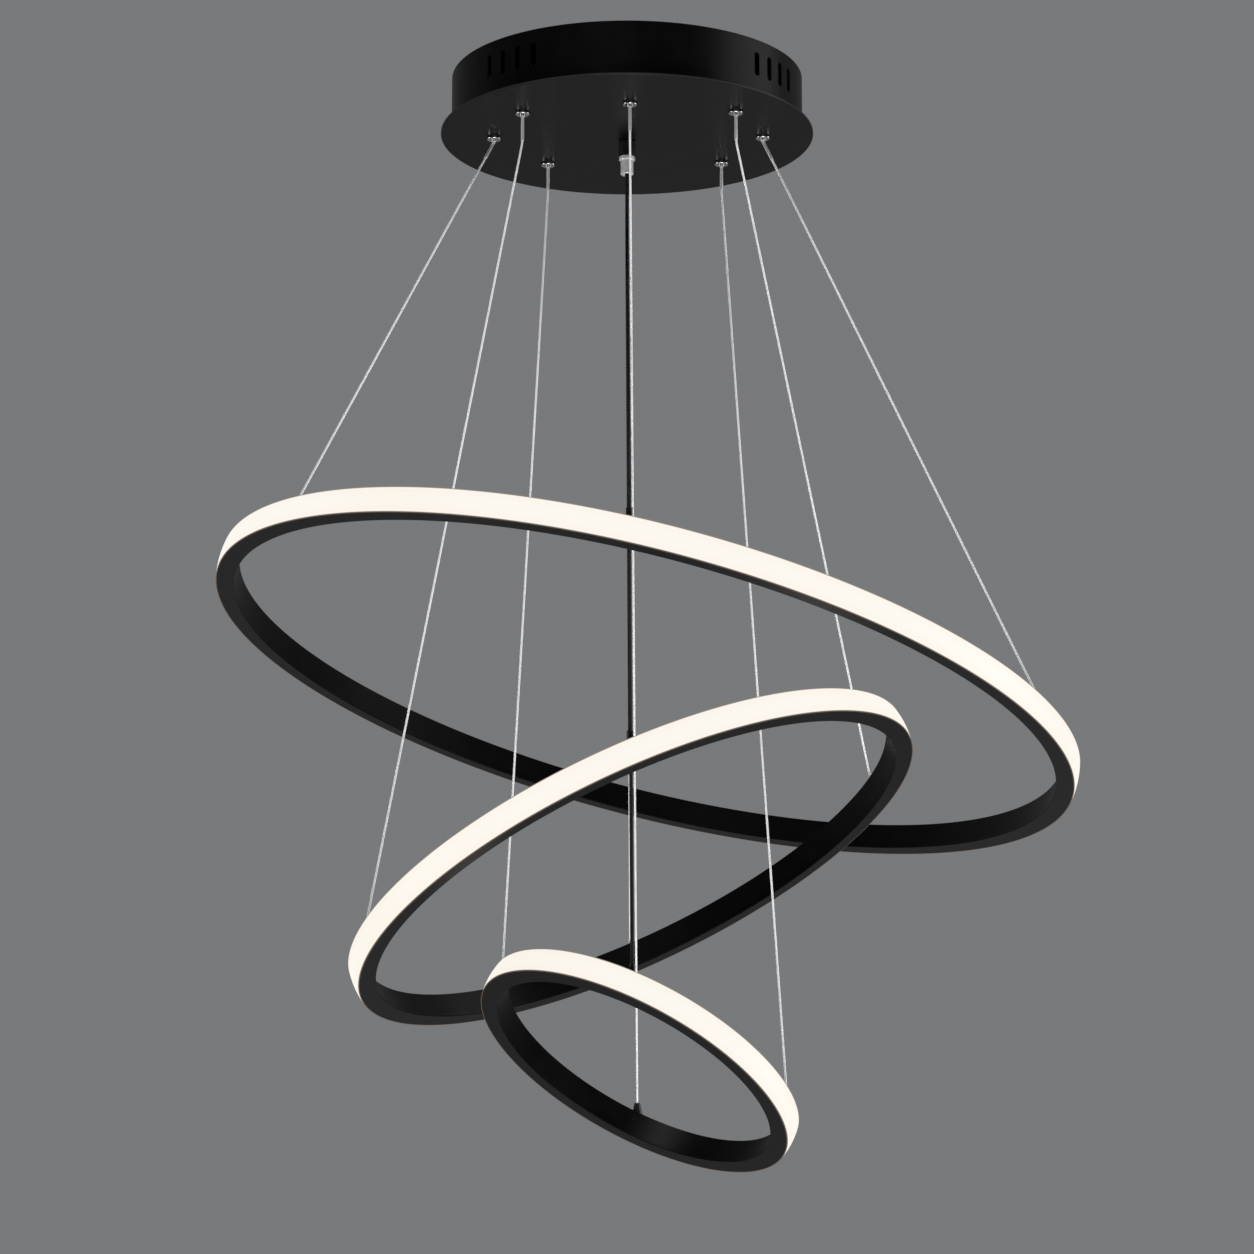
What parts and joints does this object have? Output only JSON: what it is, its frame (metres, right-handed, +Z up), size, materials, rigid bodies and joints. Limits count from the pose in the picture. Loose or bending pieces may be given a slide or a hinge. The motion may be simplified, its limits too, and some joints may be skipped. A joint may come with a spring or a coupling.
{
  "type": "led ring chandelier",
  "caption": "Ceiling chandelier with tilted LED light rings of falling size, hung on steel wires and a power cable below a round black canopy.",
  "frame": {"origin": "centre of the ceiling face, at the middle of the bracket's top", "axes": "+Z up into the ceiling, +X to the right and -Y to the front as pictured"},
  "size_m": [0.584, 0.5978, 0.7563],
  "materials": {
    "black_paint": "satin black powder coat",
    "opal": "opal white silicone",
    "chrome": "polished chrome plate",
    "wire_steel": "twisted bright steel wire",
    "zinc": "bright zinc plate",
    "black_plastic": "moulded black plastic",
    "black_steel": "blackened steel",
    "black_cable": "smooth black PVC jacket",
    "white_plastic": "moulded white plastic",
    "led_board": "white circuit board with LED packages"
  },
  "bodies": {
    "canopy": {"ceiling_bracket": "black_steel", "bracket_side_screws": "black_steel", "canopy_drum": "black_paint", "canopy_plate": "black_paint", "plate_studs": "zinc", "plate_nuts": "zinc", "fixing_studs": "zinc", "fixing_nuts": "zinc", "led_driver": "white_plastic", "terminal_block": "white_plastic", "cable_gland_body": "black_plastic", "cable_gland_cap": "chrome", "cable_gland_locknut": "black_plastic", "gripper_nuts": "chrome", "ring_1_grippers": "chrome", "ring_2_grippers": "chrome", "ring_3_grippers": "chrome"},
    "ring_1": {"ring_1_channel": "black_paint", "ring_1_diffuser": "opal", "ring_1_led_strip": "led_board", "ring_1_wire_nipples": "zinc", "ring_1_anchor_blocks": "zinc", "ring_1_anchor_screws": "black_steel", "ring_1_cable_sleeve": "black_plastic", "ring_1_power_cable": "black_cable", "ring_1_left_wire": "wire_steel", "ring_1_right_wire": "wire_steel", "ring_1_rear_wire": "wire_steel"},
    "ring_2": {"ring_2_channel": "black_paint", "ring_2_diffuser": "opal", "ring_2_led_strip": "led_board", "ring_2_wire_nipples": "zinc", "ring_2_anchor_blocks": "zinc", "ring_2_anchor_screws": "black_steel", "ring_2_cable_sleeve": "black_plastic", "ring_2_power_cable": "black_cable", "ring_2_left_wire": "wire_steel", "ring_2_right_wire": "wire_steel", "ring_2_rear_wire": "wire_steel"},
    "ring_3": {"ring_3_channel": "black_paint", "ring_3_diffuser": "opal", "ring_3_led_strip": "led_board", "ring_3_wire_nipples": "zinc", "ring_3_anchor_blocks": "zinc", "ring_3_anchor_screws": "black_steel", "ring_3_cable_sleeve": "black_plastic", "ring_3_power_cable": "black_cable", "ring_3_left_wire": "wire_steel", "ring_3_right_wire": "wire_steel", "ring_3_rear_wire": "wire_steel"},
    "ring_1_left_plunger": {"ring_1_left_plunger": "chrome"},
    "ring_1_right_plunger": {"ring_1_right_plunger": "chrome"},
    "ring_1_rear_plunger": {"ring_1_rear_plunger": "chrome"},
    "ring_2_left_plunger": {"ring_2_left_plunger": "chrome"},
    "ring_2_right_plunger": {"ring_2_right_plunger": "chrome"},
    "ring_2_rear_plunger": {"ring_2_rear_plunger": "chrome"},
    "ring_3_left_plunger": {"ring_3_left_plunger": "chrome"},
    "ring_3_right_plunger": {"ring_3_right_plunger": "chrome"},
    "ring_3_rear_plunger": {"ring_3_rear_plunger": "chrome"}
  },
  "joints": [
    {"name": "ring_1_height", "type": "slide", "parent": "canopy", "child": "ring_1", "axis": [0, 0, 1], "range_m": [-0.2, 0.15], "deforming": ["ring_1_left_wire", "ring_1_right_wire", "ring_1_rear_wire", "ring_1_power_cable"]},
    {"name": "ring_2_height", "type": "slide", "parent": "canopy", "child": "ring_2", "axis": [0, 0, 1], "range_m": [-0.2, 0.15], "deforming": ["ring_2_left_wire", "ring_2_right_wire", "ring_2_rear_wire", "ring_2_power_cable"]},
    {"name": "ring_3_height", "type": "slide", "parent": "canopy", "child": "ring_3", "axis": [0, 0, 1], "range_m": [-0.2, 0.15], "deforming": ["ring_3_left_wire", "ring_3_right_wire", "ring_3_rear_wire", "ring_3_power_cable"]},
    {"name": "ring_1_left_release", "type": "slide", "parent": "canopy", "child": "ring_1_left_plunger", "axis": [0, 0, 1], "range_m": [0, 0.002], "stiffness_N_per_m": 400},
    {"name": "ring_1_right_release", "type": "slide", "parent": "canopy", "child": "ring_1_right_plunger", "axis": [0, 0, 1], "range_m": [0, 0.002], "stiffness_N_per_m": 400},
    {"name": "ring_1_rear_release", "type": "slide", "parent": "canopy", "child": "ring_1_rear_plunger", "axis": [0, 0, 1], "range_m": [0, 0.002], "stiffness_N_per_m": 400},
    {"name": "ring_2_left_release", "type": "slide", "parent": "canopy", "child": "ring_2_left_plunger", "axis": [0, 0, 1], "range_m": [0, 0.002], "stiffness_N_per_m": 400},
    {"name": "ring_2_right_release", "type": "slide", "parent": "canopy", "child": "ring_2_right_plunger", "axis": [0, 0, 1], "range_m": [0, 0.002], "stiffness_N_per_m": 400},
    {"name": "ring_2_rear_release", "type": "slide", "parent": "canopy", "child": "ring_2_rear_plunger", "axis": [0, 0, 1], "range_m": [0, 0.002], "stiffness_N_per_m": 400},
    {"name": "ring_3_left_release", "type": "slide", "parent": "canopy", "child": "ring_3_left_plunger", "axis": [0, 0, 1], "range_m": [0, 0.002], "stiffness_N_per_m": 400},
    {"name": "ring_3_right_release", "type": "slide", "parent": "canopy", "child": "ring_3_right_plunger", "axis": [0, 0, 1], "range_m": [0, 0.002], "stiffness_N_per_m": 400},
    {"name": "ring_3_rear_release", "type": "slide", "parent": "canopy", "child": "ring_3_rear_plunger", "axis": [0, 0, 1], "range_m": [0, 0.002], "stiffness_N_per_m": 400}
  ]
}
